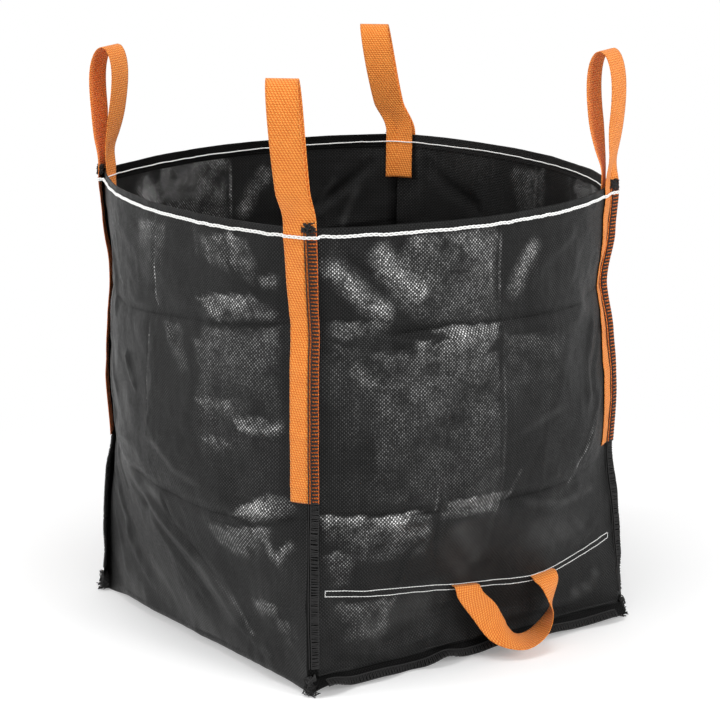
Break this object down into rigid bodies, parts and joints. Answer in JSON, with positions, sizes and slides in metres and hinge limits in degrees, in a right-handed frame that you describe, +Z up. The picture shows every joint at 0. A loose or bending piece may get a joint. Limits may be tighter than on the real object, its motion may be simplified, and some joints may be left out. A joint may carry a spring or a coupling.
{
  "type": "garden waste bag",
  "caption": "Open square garden waste bag of black woven cloth, with a tall orange webbing lifting loop at each corner and a tipping handle low on the front panel.",
  "frame": {"origin": "centre of the bounding box, at floor level", "axes": "+Z up, longest extent; -Y towards the front panel, which carries the tipping handle; +X towards the right wall"},
  "size_m": [0.6182, 0.6152, 0.756],
  "materials": {
    "black_woven_cloth": "semi-gloss woven plastic tape",
    "orange_webbing": "matte woven webbing",
    "white_thread": "matte sewing thread",
    "black_thread": "matte overlock thread"
  },
  "bodies": {
    "root": {"long_panel": "black_woven_cloth", "front_panel": "black_woven_cloth", "rear_panel": "black_woven_cloth", "lifting_loop_front": "orange_webbing", "lifting_loop_right": "orange_webbing", "lifting_loop_rear": "orange_webbing", "lifting_loop_left": "orange_webbing", "corner_overlock_front": "black_thread", "corner_overlock_right": "black_thread", "corner_overlock_rear": "black_thread", "corner_overlock_left": "black_thread", "tipping_handle": "orange_webbing", "handle_backing_strip": "orange_webbing", "band_stitch": "white_thread", "rim_stitch_outer": "white_thread", "rim_stitch_inner": "white_thread", "bottom_overlock_front": "black_thread", "bottom_overlock_rear": "black_thread"}
  },
  "joints": []
}
